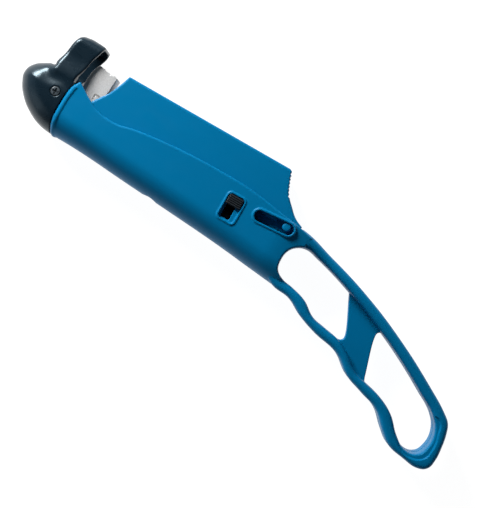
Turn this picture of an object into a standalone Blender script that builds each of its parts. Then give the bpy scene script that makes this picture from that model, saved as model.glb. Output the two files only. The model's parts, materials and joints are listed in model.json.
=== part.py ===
"""Long-handled kitchen gas lighter, lying on its side.

Design frame, in millimetres: x runs from the flame end to the tail, y towards the trigger, z is the
thickness, 0 at the parting plane. The front top corner of the trigger is at x = y = 0. Everything hangs
on one empty, which puts the world's origin at the centre of the underside of the bounding box.
"""

import math

import bmesh
import bpy
from mathutils import Matrix, Vector

MM = 0.001
# The least space between two pieces, and the running clearance round a pin or a screw
GAP = 0.3
FIT = 0.25

# Overall box of the lighter in the design frame
FRONT_X = -38.7
TAIL_X = 181.97
TOP_Y = 5.75
TAIL_Y = -78.49

# Casing and handle
CASE_HALF = 10.0
# Cutters that pass right through reach this far
BEYOND = 2 * CASE_HALF
CASE_WALL = 1.6
CASE_RIM = 1.2
BELLY_RIM = 9.6
HANDLE_HALF = 6.5
HANDLE_RIM = 2.0
TAPER_START_X = 87.0
TAPER_END_X = 98.0
TAPER_END_HALF = 6.6
WEB_HALF = 1.8

# Nose cap and ring guard
NOSE_RIM = 6.0
NOSE_WALL = 1.6
RING_HALF = 8.0
RING_WALL = 1.5
TUNNEL_FLOOR_Y = -10.4

# Trigger: slides forward along a line tilted down into the casing
TRIGGER_HALF = 7.9
TRIGGER_WALL = 1.4
TRIGGER_ROOF = 1.0
SLIDE_TILT = math.radians(4.5)
SLIDE_TRAVEL = 10.8
PIN_X = 83.7
PIN_Y = -20.85
PIN_R = 1.8
SLOT_R = 2.1
SLOT_RIM_R = 3.0
SLOT_RIM_HEIGHT = 0.4
SERRATIONS = 6
SERRATION_PITCH = 1.5
SERRATION_R = 0.5

# Spark wheel and its drive
WHEEL_X = -22.4
WHEEL_Y = -19.8
WHEEL_R = 6.5
WHEEL_TEETH = 36
WHEEL_HALF = 1.6
AXLE_R = 0.95
AXLE_HEAD_R = 2.1
AXLE_BORE_R = 1.15
PINION_TEETH = 13
MODULE = 0.4
RACK_TEETH = 10
PINION_R = PINION_TEETH * MODULE / 2
DRIVE_Z0 = 6.2
DRIVE_Z1 = 7.4

# Flint and its tube, behind the wheel
FLINT_R = 1.25
TUBE_R = 2.1
TUBE_BORE_R = 1.55
TUBE_X0 = -15.2
TUBE_X1 = 7.0

# Valve and its lever
LEVER_X = -9.5
LEVER_Y = -25.0
LEVER_PIN_R = 0.9
VALVE_Y = -29.9
VALVE_R = 2.0
PLUNGER_R = 1.0

# Tank
TANK_HALF = 6.0
TANK_RIM = 3.0
TANK_WALL = 1.2
TANK_X0 = 3.8
TANK_X1 = 66.0
REFILL_X = 30.0
REFILL_R = 2.4
REFILL_HOLE_R = 3.1

# Return spring
SPRING_Y = -6.5
SPRING_R = 2.6
SPRING_WIRE_R = 0.35
SPRING_X0 = 12.0
SPRING_X1 = 46.0
SPRING_TURNS = 11

# Lock slider
LOCK_X = 60.9
LOCK_Y = -22.0
LOCK_TRAVEL = 5.0
LOCK_HALF_LENGTH = 2.3
LOCK_HALF_WIDTH = 3.3
LOCK_STEM_X0 = 59.2
LOCK_STEM_X1 = 61.8
LOCK_STEM_HALF = 1.3
LOCK_RECESS_HALF = 3.75
LOCK_RECESS_Y0 = -31.0
LOCK_RECESS_Y1 = -18.9
LOCK_RECESS_DEPTH = 0.8
LOCK_RIDGES = 4
LOCK_RIDGE_PITCH = 1.2

# Screws from the underside: place, and z of the face that each one is sunk in
SCREW_PLACES = (
    (-14.6, -26.6, -CASE_HALF),
    (80.4, -31.0, -CASE_HALF),
    (176.8, -74.2, -HANDLE_HALF),
)
SCREW_HEAD_R = 2.0
SCREW_HEAD_HEIGHT = 1.4
SCREW_SHANK_R = 0.9
CROSS_HALF_LENGTH = 1.1
CROSS_HALF_WIDTH = 0.25
CROSS_DEPTH = 0.7
BOSS_R = 2.6

BLUE = (0.0, 0.165, 0.352)
NAVY = (0.006, 0.016, 0.032)
STEEL = (0.46, 0.46, 0.45)
BLACK = (0.012, 0.012, 0.013)
BRASS = (0.56, 0.40, 0.15)

for old in list(bpy.data.objects):
    bpy.data.objects.remove(old, do_unlink=True)

parts = bpy.data.collections.new("kitchen_lighter")
cutters = bpy.data.collections.new("cutters")
bpy.context.scene.collection.children.link(parts)
bpy.context.scene.collection.children.link(cutters)
cutters.hide_render = True

root = bpy.data.objects.new("lighter_frame", None)
root.location = Vector((-(FRONT_X + TAIL_X) / 2, -(TOP_Y + TAIL_Y) / 2, CASE_HALF)) * MM
parts.objects.link(root)


def material(name, colour, roughness, metallic=0.0):
    """A plain Principled material."""
    made = bpy.data.materials.new(name)
    made.use_nodes = True
    shader = made.node_tree.nodes["Principled BSDF"]
    shader.inputs["Base Color"].default_value = (*colour, 1.0)
    shader.inputs["Roughness"].default_value = roughness
    shader.inputs["Metallic"].default_value = metallic
    made.diffuse_color = (*colour, 1.0)
    return made


blue_plastic = material("blue_abs", BLUE, 0.35)
navy_plastic = material("navy_gloss", NAVY, 0.18)
satin_steel = material("satin_steel", STEEL, 0.32, 1.0)
screw_steel = material("zinc_screw", (0.40, 0.40, 0.39), 0.38, 1.0)
spring_steel = material("spring_steel", (0.30, 0.30, 0.31), 0.30, 1.0)
black_plastic = material("black_nylon", BLACK, 0.55)
brass = material("brass", BRASS, 0.30, 1.0)
tank_plastic = material("tank_acetal", (0.012, 0.022, 0.040), 0.45)
wheel_steel = material("wheel_steel", (0.10, 0.10, 0.105), 0.50, 1.0)
flint_alloy = material("flint_alloy", (0.16, 0.155, 0.15), 0.70, 0.6)
wick_felt = material("wick_felt", (0.60, 0.56, 0.47), 0.95)
seal_rubber = material("seal_rubber", (0.02, 0.02, 0.02), 0.80)


def held(mesh, name):
    """A new object on the frame, holding this mesh."""
    obj = bpy.data.objects.new(name, mesh)
    cutters.objects.link(obj)
    obj.parent = root
    return obj


def bake(obj):
    """The object's modifiers are applied, so that its points can be moved."""
    bpy.context.view_layer.update()
    graph = bpy.context.evaluated_depsgraph_get()
    mesh = bpy.data.meshes.new_from_object(obj.evaluated_get(graph))
    obj.modifiers.clear()
    obj.data = mesh
    return obj


def curve_mesh(curve, name):
    """A mesh object made from a curve, with its caps welded on."""
    scratch = bpy.data.objects.new(name, curve)
    cutters.objects.link(scratch)
    bpy.context.view_layer.update()
    graph = bpy.context.evaluated_depsgraph_get()
    mesh = bpy.data.meshes.new_from_object(scratch.evaluated_get(graph))
    bpy.data.objects.remove(scratch, do_unlink=True)
    work = bmesh.new()
    work.from_mesh(mesh)
    bmesh.ops.remove_doubles(work, verts=work.verts, dist=0.001 * MM)
    bmesh.ops.recalc_face_normals(work, faces=work.faces)
    work.to_mesh(mesh)
    work.free()
    return held(mesh, name)


def outline(name, loops, z0, z1, rim=0.0, steps=3, rim_steps=2):
    """A flat outline given thickness. A point is (x, y), smooth, or (x, y, "V"), a corner."""
    curve = bpy.data.curves.new(name, "CURVE")
    curve.dimensions = "2D"
    curve.fill_mode = "BOTH"
    curve.resolution_u = steps
    curve.extrude = ((z1 - z0) / 2 - rim) * MM
    curve.bevel_depth = rim * MM
    curve.bevel_resolution = rim_steps - 1
    curve.offset = -rim * MM
    for points in loops:
        spline = curve.splines.new("BEZIER")
        spline.bezier_points.add(len(points) - 1)
        spline.use_cyclic_u = True
        for knot, point in zip(spline.bezier_points, points):
            knot.co = (point[0] * MM, point[1] * MM, 0.0)
            kind = "VECTOR" if len(point) == 3 else "AUTO"
            knot.handle_left_type = kind
            knot.handle_right_type = kind
    obj = curve_mesh(curve, name)
    obj.data.transform(Matrix.Translation((0.0, 0.0, (z0 + z1) / 2 * MM)))
    return obj


def polygon(name, points, z0, z1):
    """A straight-sided outline given thickness."""
    return outline(name, [[(x, y, "V") for x, y in points]], z0, z1, steps=1)


def rounded(x0, x1, y0, y1, radius):
    """Points of a rectangle whose corners are cut round, four points to a corner."""
    points = []
    for cx, cy, start in ((x1, y1, 0), (x0, y1, 90), (x0, y0, 180), (x1, y0, 270)):
        ox = cx - math.copysign(radius, cx - (x0 + x1) / 2)
        oy = cy - math.copysign(radius, cy - (y0 + y1) / 2)
        for turn in (0, 30, 60, 90):
            angle = math.radians(start + turn)
            points.append((ox + radius * math.cos(angle), oy + radius * math.sin(angle)))
    return points


def box(name, x, y, z):
    """A box between pairs of limits."""
    work = bmesh.new()
    bmesh.ops.create_cube(work, size=1.0)
    mesh = bpy.data.meshes.new(name)
    work.to_mesh(mesh)
    work.free()
    size = Matrix.Diagonal(((x[1] - x[0]) * MM, (y[1] - y[0]) * MM, (z[1] - z[0]) * MM, 1.0))
    centre = Vector((sum(x), sum(y), sum(z))) * MM / 2
    mesh.transform(Matrix.Translation(centre) @ size)
    return held(mesh, name)


def cylinder(name, radius, start, end, axis="Z", at=(0.0, 0.0), sides=24, top=None):
    """A cylinder from start to end along an axis; `at` gives its two other coordinates."""
    work = bmesh.new()
    bmesh.ops.create_cone(
        work,
        cap_ends=True,
        segments=sides,
        radius1=radius * MM,
        radius2=(radius if top is None else top) * MM,
        depth=(end - start) * MM,
    )
    mesh = bpy.data.meshes.new(name)
    work.to_mesh(mesh)
    work.free()
    middle = (start + end) / 2
    turn = {"X": Matrix.Rotation(math.pi / 2, 4, "Y"), "Z": Matrix.Identity(4)}
    turn["Y"] = Matrix.Rotation(-math.pi / 2, 4, "X")
    place = {"X": (middle, *at), "Y": (at[0], middle, at[1]), "Z": (*at, middle)}
    mesh.transform(Matrix.Translation(Vector(place[axis]) * MM) @ turn[axis])
    return held(mesh, name)


def cross(name, x, y, z):
    """Two crossed bars, the cutters of a screw's cross recess."""
    bars = []
    for label, half_x, half_y in (
        ("a", CROSS_HALF_LENGTH, CROSS_HALF_WIDTH),
        ("b", CROSS_HALF_WIDTH, CROSS_HALF_LENGTH),
    ):
        bars.append(box(f"{name}_{label}", (x - half_x, x + half_x), (y - half_y, y + half_y), z))
    return bars


def combine(obj, *others, how="DIFFERENCE", solver="EXACT"):
    """Cuts the others from the object, or joins or intersects it with them."""
    for other in others:
        other.hide_render = True
        other.display_type = "WIRE"
        step = obj.modifiers.new(other.name, "BOOLEAN")
        step.operation = how
        step.solver = solver
        step.object = other
    return obj


def finish(obj, name, look, pivot=(0.0, 0.0, 0.0)):
    """Makes the object one of the lighter's parts, with its origin at the pivot."""
    obj.name = name
    obj.data.name = name
    cutters.objects.unlink(obj)
    parts.objects.link(obj)
    offset = Vector(pivot) * MM
    obj.data.transform(Matrix.Translation(-offset))
    obj.location = offset
    obj.data.materials.clear()
    obj.data.materials.append(look)
    obj.data.shade_smooth()
    obj.data.set_sharp_from_angle(angle=math.radians(35))
    return obj


def coil(name, x0, x1, y, radius, wire, turns):
    """A closed-wire compression spring along x."""
    curve = bpy.data.curves.new(name, "CURVE")
    curve.dimensions = "3D"
    curve.bevel_depth = wire * MM
    curve.bevel_resolution = 1
    curve.use_fill_caps = True
    count = turns * 9
    spline = curve.splines.new("POLY")
    spline.points.add(count)
    for i, knot in enumerate(spline.points):
        share = i / count
        angle = 2 * math.pi * turns * share
        place = (x0 + (x1 - x0) * share, y + radius * math.cos(angle), radius * math.sin(angle))
        knot.co = (*(value * MM for value in place), 1.0)
    return curve_mesh(curve, name)


def slide_to(x, y, travel):
    """Where a point of the trigger is after this travel."""
    return x - travel * math.cos(SLIDE_TILT), y - travel * math.sin(SLIDE_TILT)


def stadium(radius, travel):
    """A round-ended slot from the guide pin's rest place, this travel long."""
    along = math.pi + SLIDE_TILT
    ends = (
        ((PIN_X, PIN_Y), along + math.pi / 2),
        (slide_to(PIN_X, PIN_Y, travel), along - math.pi / 2),
    )
    points = []
    for (x, y), start in ends:
        for i in range(9):
            angle = start + math.pi * i / 8
            points.append((x + radius * math.cos(angle), y + radius * math.sin(angle)))
    return points


# ---------------------------------------------------------------- casing and handle
seam = [
    (-16.4, -11.4, "V"), (-9.8, -15.4), (-4.7, -18.0), (0.5, -18.9), (5.3, -18.9), (11.0, -17.6),
    (20.0, -16.2), (35.0, -14.9), (52.0, -14.5), (65.0, -14.9), (78.0, -16.8), (88.0, -18.2),
]
front_edge = [(-18.9, -30.3), (-19.35, -25.0), (-19.2, -19.8), (-18.6, -15.3)]
body = outline(
    "body",
    [[
        *seam, (94.8, -19.6, "V"), (94.0, -24.2, "V"), (91.0, -25.9), (88.6, -29.0), (88.05, -33.5),
        (88.9, -37.2), (92.0, -39.6, "V"), (92.6, -47.0, "V"), (-15.0, -38.0, "V"), *front_edge,
    ]],
    -CASE_HALF, CASE_HALF, CASE_RIM,
)
belly = outline(
    "belly",
    [[
        (-60.0, -35.4, "V"), (-16.0, -35.5), (-4.0, -35.8), (18.0, -37.4), (42.0, -39.05), (62.0, -40.6),
        (80.0, -42.5), (110.0, -45.6, "V"), (110.0, 30.0, "V"), (-60.0, 30.0, "V"),
    ]],
    -CASE_HALF, CASE_HALF, BELLY_RIM, rim_steps=5,
)
bake(combine(body, belly, how="INTERSECT", solver="MANIFOLD"))

# The body thins towards the handle over its last part.
shaping = bmesh.new()
shaping.from_mesh(body.data)
stations = 5
for i in range(stations + 1):
    x = TAPER_START_X + (TAPER_END_X - TAPER_START_X) * i / stations
    everything = shaping.verts[:] + shaping.edges[:] + shaping.faces[:]
    bmesh.ops.bisect_plane(shaping, geom=everything, plane_co=(x * MM, 0, 0), plane_no=(1, 0, 0), dist=1e-7)
for vertex in shaping.verts:
    share = (vertex.co.x / MM - TAPER_START_X) / (TAPER_END_X - TAPER_START_X)
    share = min(max(share, 0.0), 1.0)
    eased = share * share * (3 - 2 * share)
    vertex.co.z *= 1 + (TAPER_END_HALF / CASE_HALF - 1) * eased
shaping.to_mesh(body.data)
shaping.free()

handle_outside = [
    (80.0, -19.5, "V"), (88.3, -18.15), (106.0, -22.3), (126.0, -28.6), (146.0, -37.1), (166.0, -47.7),
    (176.0, -53.9), (178.9, -56.5), (180.3, -59.8), (181.6, -66.5), (181.9, -72.0), (180.8, -76.3),
    (177.4, -78.25), (170.0, -77.7), (162.2, -75.9), (157.5, -72.3), (150.5, -66.0), (142.5, -63.2),
    (134.0, -60.1), (126.0, -54.5), (114.5, -51.8), (106.0, -48.8), (98.5, -44.9), (90.5, -43.7),
    (82.0, -38.5, "V"),
]
handle_inside = [
    (88.3, -33.5), (88.9, -29.0), (91.5, -25.9), (95.5, -24.35), (101.0, -25.4), (118.9, -30.8),
    (138.5, -38.7), (150.0, -44.2), (163.5, -51.7), (171.4, -57.2), (174.6, -62.3), (175.3, -68.5),
    (173.2, -72.6), (168.6, -73.8), (163.5, -71.0), (157.2, -64.8), (150.0, -61.0), (142.0, -58.9),
    (137.0, -57.5), (129.5, -52.2), (124.0, -49.4), (117.5, -48.1), (110.8, -46.6), (104.6, -42.5),
    (98.0, -40.5), (92.3, -39.3), (89.2, -37.0),
]
web_outline = [
    (118.9, -30.7, "V"), (126.2, -46.8), (126.1, -48.3), (124.7, -49.3), (122.5, -49.1), (120.0, -50.6, "V"),
    (131.0, -56.0, "V"), (143.0, -61.2, "V"), (140.9, -57.5, "V"), (135.8, -40.8), (136.2, -38.9),
    (138.1, -38.3), (141.5, -39.2), (144.0, -38.6, "V"), (120.0, -29.0, "V"),
]
handle = outline("handle", [handle_outside, handle_inside], -HANDLE_HALF, HANDLE_HALF, HANDLE_RIM)
web = outline("web", [web_outline], -WEB_HALF, WEB_HALF)
cavity = outline(
    "cavity",
    [[
        (-30.0, 5.0, "V"), (-30.0, -46.0, "V"), (85.0, -46.0, "V"), (86.5, -30.0), (86.6, -24.6, "V"),
        (89.5, -20.6, "V"), (89.9, 5.0, "V"),
    ]],
    -CASE_HALF + CASE_WALL, CASE_HALF - CASE_WALL,
)
belly_inside = outline(
    "belly_inside",
    [[
        (-60.0, -33.8, "V"), (-16.0, -33.9), (-4.0, -34.2), (18.0, -35.8), (42.0, -37.45), (62.0, -39.0),
        (80.0, -40.9), (110.0, -44.0, "V"), (110.0, 30.0, "V"), (-60.0, 30.0, "V"),
    ]],
    -CASE_HALF + CASE_WALL, CASE_HALF - CASE_WALL, BELLY_RIM - CASE_WALL, rim_steps=5,
)
bake(combine(cavity, belly_inside, how="INTERSECT"))
boss_half = CASE_HALF - 1.0
bosses = [
    cylinder(f"boss_{i}", BOSS_R, -boss_half, boss_half, at=(x, y))
    for i, (x, y, _) in enumerate(SCREW_PLACES[:2])
]
slot_length = SLIDE_TRAVEL + 2 * GAP
slot_depth = CASE_HALF - CASE_WALL - 1.4
slot_rim = polygon(
    "slot_rim", stadium(SLOT_RIM_R, slot_length), CASE_HALF - CASE_WALL + GAP, CASE_HALF + SLOT_RIM_HEIGHT
)
slot_upper = polygon("slot_upper", stadium(SLOT_R, slot_length), slot_depth, BEYOND)
slot_lower = polygon("slot_lower", stadium(SLOT_R, slot_length), -BEYOND, -slot_depth)
refill_hole = cylinder("refill_hole", REFILL_HOLE_R, -42.0, -34.0, axis="Y", at=(REFILL_X, 0.0))
lock_recess = polygon(
    "lock_recess",
    rounded(LOCK_X - LOCK_RECESS_HALF, LOCK_X + LOCK_RECESS_HALF, LOCK_RECESS_Y0, LOCK_RECESS_Y1, 1.4),
    CASE_HALF - LOCK_RECESS_DEPTH, BEYOND,
)
lock_slot = box(
    "lock_slot",
    (LOCK_STEM_X0 - GAP, LOCK_STEM_X1 + GAP),
    (LOCK_Y - LOCK_STEM_HALF - LOCK_TRAVEL - 5 * GAP, LOCK_Y + LOCK_STEM_HALF + GAP),
    (slot_depth, BEYOND),
)

combine(body, handle, web, how="UNION")
combine(body, cavity)
combine(body, *bosses, how="UNION")
combine(body, refill_hole)

upper = body
lower = held(body.data.copy(), "lower")
for source in body.modifiers:
    copied = lower.modifiers.new(source.name, "BOOLEAN")
    copied.operation = source.operation
    copied.object = source.object
whole_x = (FRONT_X - BEYOND, TAIL_X + BEYOND)
whole_y = (TAIL_Y - BEYOND, TOP_Y + BEYOND)
above = box("above", whole_x, whole_y, (GAP / 2, BEYOND))
below = box("below", whole_x, whole_y, (-BEYOND, -GAP / 2))
combine(upper, slot_rim, how="UNION")
combine(upper, slot_upper, lock_recess, lock_slot)
combine(upper, above, how="INTERSECT")
combine(lower, slot_lower)
combine(lower, below, how="INTERSECT")
for i, (x, y, face) in enumerate(SCREW_PLACES):
    head_seat = face + SCREW_HEAD_HEIGHT + 2 * GAP
    bore = cylinder(f"bore_{i}", SCREW_SHANK_R + FIT, face - 1.0, -face - 2.6, at=(x, y), sides=16)
    sink = cylinder(f"sink_{i}", SCREW_HEAD_R + FIT, face - 2.0, head_seat, at=(x, y))
    combine(upper, bore)
    combine(lower, bore, sink)
finish(upper, "casing_upper", blue_plastic)
finish(lower, "casing_lower", blue_plastic)

for i, (x, y, face) in enumerate(SCREW_PLACES):
    top = face + GAP
    seat = top + SCREW_HEAD_HEIGHT
    screw = cylinder(f"screw_{i}", SCREW_HEAD_R, top, seat, at=(x, y), sides=20)
    shank = cylinder(f"shank_{i}", SCREW_SHANK_R, seat - 0.2, -face - 3.2, at=(x, y), sides=12)
    combine(screw, shank, how="UNION")
    combine(screw, *cross(f"cross_{i}", x, y, (top - 1.0, top + CROSS_DEPTH)))
    finish(screw, f"casing_screw_{i + 1}", screw_steel)

# ---------------------------------------------------------------- nose cap with its ring guard
nose = outline(
    "nose",
    [[
        (-8.0, -10.4, "V"), (-28.6, -10.1), (-33.5, -12.2), (-37.2, -15.2), (-38.7, -18.7), (-37.6, -22.4),
        (-34.0, -27.8), (-29.2, -31.9), (-24.0, -34.3), (-18.0, -35.35), (-8.0, -35.5, "V"),
    ]],
    -CASE_HALF, CASE_HALF, NOSE_RIM, rim_steps=3,
)
ring_side = outline(
    "ring_side",
    [[
        (-30.6, -14.0, "V"), (-30.2, -10.4), (-28.3, -3.0), (-26.3, 3.3), (-24.7, 5.35), (-22.6, 5.75),
        (-14.1, 5.35, "V"), (-14.6, 2.6), (-16.1, -2.0), (-16.9, -6.5), (-18.1, -10.8, "V"),
        (-18.3, -14.0, "V"),
    ]],
    -12.0, 12.0,
)


def arch(name, half, top, bottom, radius, x0, x1):
    """An upright bar with rounded top corners and a square foot, running along x."""
    section = [(-half, bottom), (half, bottom)]
    for side, start in ((1, 0), (-1, 90)):
        for turn in (0, 22.5, 45, 67.5, 90):
            angle = math.radians(start + turn)
            across = side * (half - radius) + radius * math.cos(angle)
            section.append((across, top - radius + radius * math.sin(angle)))
    bar = polygon(name, section, x0, x1)
    bar.data.transform(Matrix(((0, 0, 1, 0), (0, 1, 0, 0), (-1, 0, 0, 0), (0, 0, 0, 1))))
    return bar


ring = arch("ring", RING_HALF, TOP_Y, -14.0, 4.0, -34.0, -8.0)
tunnel = arch("tunnel", RING_HALF - RING_WALL, TOP_Y - RING_WALL, TUNNEL_FLOOR_Y, 2.5, -60.0, 0.0)
nose_cavity = outline(
    "nose_cavity",
    [[
        (-6.0, -12.3, "V"), (-28.3, -12.0), (-32.8, -13.8), (-35.9, -16.3), (-37.1, -18.8), (-36.1, -21.8),
        (-32.7, -26.9), (-28.3, -30.6), (-23.6, -32.7), (-18.0, -33.7), (-6.0, -33.7, "V"),
    ]],
    -CASE_HALF + NOSE_WALL, CASE_HALF - NOSE_WALL, NOSE_RIM - NOSE_WALL,
)
spark_gate = box("spark_gate", (-21.5, -5.0), (-16.0, -9.0), (-5.2, 5.2))
behind = outline(
    "behind",
    [[
        (-17.6, -9.0, "V"), (-18.2, -11.8), (-18.9, -15.3), (-19.5, -19.8), (-19.65, -25.0), (-19.2, -30.4),
        (-17.2, -38.0, "V"), (10.0, -38.0, "V"), (10.0, -9.0, "V"),
    ]],
    -14.0, 14.0,
)
combine(ring, ring_side, how="INTERSECT")
bake(combine(nose, belly, how="INTERSECT", solver="MANIFOLD"))
bake(combine(nose_cavity, belly_inside, how="INTERSECT", solver="MANIFOLD"))
combine(nose, ring, how="UNION")
axle_at = (WHEEL_X, WHEEL_Y)
screw_seat = cylinder("screw_seat", AXLE_HEAD_R + GAP, CASE_HALF - 0.7, BEYOND, at=axle_at)
screw_bore = cylinder("screw_bore", AXLE_R + FIT, -8.9, BEYOND, at=axle_at, sides=16)
combine(nose, tunnel, nose_cavity, spark_gate, behind, screw_seat, screw_bore)
finish(nose, "nose_cap", navy_plastic)

head_top = CASE_HALF + 0.35
axle_screw = cylinder("axle_head", AXLE_HEAD_R, head_top - 0.75, head_top, at=axle_at, sides=28)
axle = cylinder("axle", AXLE_R, -8.6, head_top - 0.55, at=axle_at, sides=16)
combine(axle_screw, axle, how="UNION")
combine(axle_screw, *cross("axle_cross", *axle_at, (head_top - CROSS_DEPTH, BEYOND)))
finish(axle_screw, "axle_screw", screw_steel)

# ---------------------------------------------------------------- windshield, nozzle and gas pipe
shield = outline(
    "shield",
    [[
        (-13.3, -1.75, "V"), (-14.5, -4.6), (-15.0, -7.6), (-15.1, -12.0), (-14.6, -16.8, "V"),
        (-5.6, -16.8, "V"), (-4.6, -2.25, "V"),
    ]],
    -4.6, 4.6,
)
shield_inside = outline(
    "shield_inside",
    [[(-30.0, -2.35, "V"), (-5.15, -2.8, "V"), (-6.2, -20.0, "V"), (-30.0, -20.0, "V")]], -4.1, 4.1, steps=1,
)
shield_window = box("shield_window", (-10.1, -7.7), (-15.0, -12.8), (2.0, 8.0))
combine(shield, shield_inside, shield_window)
finish(shield, "windshield", satin_steel)

nozzle = box("nozzle", (-8.8, -6.0), (-9.6, -6.0), (-3.7, 3.7))
jet = cylinder("jet", 1.0, -10.6, -8.0, axis="X", at=(-7.8, 0.0), sides=16, top=1.3)
jet_bore = cylinder("jet_bore", 0.4, -12.0, -7.5, axis="X", at=(-7.8, 0.0), sides=12)
combine(nozzle, jet, how="UNION")
combine(nozzle, jet_bore)
finish(nozzle, "flame_nozzle", brass)

pipe_curve = bpy.data.curves.new("pipe", "CURVE")
pipe_curve.dimensions = "3D"
pipe_curve.bevel_depth = 0.7 * MM
pipe_curve.bevel_resolution = 2
pipe_curve.use_fill_caps = True
pipe_route = (
    (-7.2, -9.9, -3.0), (-7.2, -22.4, -3.0), (-6.8, -24.0, -2.8), (-5.0, -25.6, -1.8),
    (-2.6, -26.5, -0.7), (-0.6, -26.9, -0.2), (-0.2, -27.6, 0.0),
)
pipe_spline = pipe_curve.splines.new("POLY")
pipe_spline.points.add(len(pipe_route) - 1)
for knot, place in zip(pipe_spline.points, pipe_route):
    knot.co = (*(value * MM for value in place), 1.0)
finish(curve_mesh(pipe_curve, "pipe"), "gas_pipe", brass)

# ---------------------------------------------------------------- trigger, guide pin and rack
trigger = outline(
    "trigger",
    [[
        (-0.2, 0.0, "V"), (73.2, 0.1, "V"), (74.3, -0.7), (75.4, -3.6), (77.9, -9.2), (81.5, -13.1),
        (85.2, -16.0), (89.1, -17.8, "V"), (88.6, -19.8, "V"), (86.4, -21.2, "V"), (86.2, -24.4, "V"),
        (80.2, -24.4, "V"), (79.4, -20.8, "V"), (2.0, -20.6, "V"), (-5.0, -19.3, "V"), (-8.7, -16.6, "V"),
        (-7.0, -14.0), (-4.1, -9.7), (-1.9, -4.9),
    ]],
    -TRIGGER_HALF, TRIGGER_HALF, 0.9,
)
inner_half = TRIGGER_HALF - TRIGGER_WALL
trigger_inside = outline(
    "trigger_inside",
    [[
        (-20.0, -TRIGGER_ROOF, "V"), (72.4, -TRIGGER_ROOF, "V"), (73.9, -4.2), (76.4, -9.9), (80.2, -14.2),
        (83.9, -17.2), (85.0, -19.2, "V"), (84.9, -30.0, "V"), (-20.0, -30.0, "V"),
    ]],
    -inner_half, inner_half, steps=2,
)
rib_half = inner_half + 0.4
spring_rib = box("spring_rib", (SPRING_X1 + 0.5, SPRING_X1 + 2.1), (-11.0, -0.6), (-rib_half, rib_half))
pin_holes = cylinder("pin_holes", PIN_R + FIT, -BEYOND, BEYOND, at=(PIN_X, PIN_Y), sides=20)
combine(trigger, trigger_inside)
combine(trigger, spring_rib, how="UNION")
combine(trigger, pin_holes)
# The grooves follow the trigger's hollow rear edge, which is nearly a parabola there.
for i in range(SERRATIONS):
    down = SERRATION_PITCH * i
    groove_at = (75.37 + 0.42 * down + 0.028 * down ** 2, -2.9 - down)
    combine(trigger, cylinder(f"groove_{i}", SERRATION_R, -BEYOND, BEYOND, at=groove_at, sides=8))
finish(trigger, "trigger", blue_plastic)

pin = cylinder("pin", PIN_R, -CASE_HALF + 0.5, CASE_HALF - 0.2, at=(PIN_X, PIN_Y), sides=24)
finish(pin, "guide_pin", blue_plastic, (PIN_X, PIN_Y, 0.0))

rack_points = []
tooth = math.pi * MODULE
pitch_x = WHEEL_X - PINION_R * math.sin(SLIDE_TILT)
pitch_y = WHEEL_Y + PINION_R * math.cos(SLIDE_TILT)
for i in range(RACK_TEETH):
    for along, rise in ((-0.36, 0.5), (-0.14, -0.36), (0.14, -0.36), (0.36, 0.5)):
        run = (i + along) * tooth
        up = rise * MODULE * 2
        rack_points.append((
            pitch_x + run * math.cos(SLIDE_TILT) - up * math.sin(SLIDE_TILT),
            pitch_y + run * math.sin(SLIDE_TILT) + up * math.cos(SLIDE_TILT),
        ))
rack_points += [(-9.3, -16.5), (-9.2, -15.9), (-11.8, -15.0), (pitch_x - 0.2, pitch_y + 1.0)]
finish(polygon("rack", rack_points, DRIVE_Z0, DRIVE_Z1), "trigger_rack", blue_plastic)

# ---------------------------------------------------------------- spark wheel and pinion
def toothed(name, teeth, outer, inner, z0, z1, turn=0.0, tip=0.24):
    """A wheel with straight-flanked teeth round the wheel's axis."""
    points = []
    for i in range(teeth):
        for share, radius in ((-0.5 + tip, inner), (-tip / 2, outer), (tip / 2, outer), (0.5 - tip, inner)):
            angle = 2 * math.pi * (i + share) / teeth + turn
            points.append((WHEEL_X + radius * math.cos(angle), WHEEL_Y + radius * math.sin(angle)))
    return polygon(name, points, z0, z1)


wheel = toothed("wheel", WHEEL_TEETH, WHEEL_R, WHEEL_R - 0.4, -WHEEL_HALF, WHEEL_HALF)
combine(wheel, cylinder("wheel_bore", AXLE_BORE_R, -9.0, 9.0, at=axle_at, sides=16))
finish(wheel, "spark_wheel", wheel_steel, (*axle_at, 0.0))

mesh_turn = math.pi / 2 + SLIDE_TILT + math.pi / PINION_TEETH
pinion = toothed("pinion", PINION_TEETH, PINION_R + 0.28, PINION_R - 0.5, DRIVE_Z0, DRIVE_Z1, mesh_turn)
combine(pinion, cylinder("hub", 1.8, WHEEL_HALF + GAP, DRIVE_Z0 + 0.4, at=axle_at, sides=16), how="UNION")
combine(pinion, cylinder("pinion_bore", AXLE_BORE_R, -9.0, 9.0, at=axle_at, sides=16))
finish(pinion, "drive_pinion", brass, (*axle_at, 0.0))

# ---------------------------------------------------------------- flint, spring, tube and plug
flint_at = (WHEEL_Y, 0.0)
finish(cylinder("flint_rod", FLINT_R, -15.55, -12.0, "X", flint_at, 16), "flint", flint_alloy)
finish(coil("flint_coil", -11.6, 4.6, WHEEL_Y, 0.95, 0.22, 9), "flint_spring", spring_steel)
flint_tube = cylinder("flint_sleeve", TUBE_R, TUBE_X0, TUBE_X1, "X", flint_at, 20)
combine(flint_tube, cylinder("flint_bore", TUBE_BORE_R, TUBE_X0 - 1, TUBE_X1 + 1, "X", flint_at, 20))
finish(flint_tube, "flint_tube", brass)
finish(cylinder("flint_stop", 1.25, 5.1, TUBE_X1 + 0.4, "X", flint_at, 16), "flint_plug", screw_steel)

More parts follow.
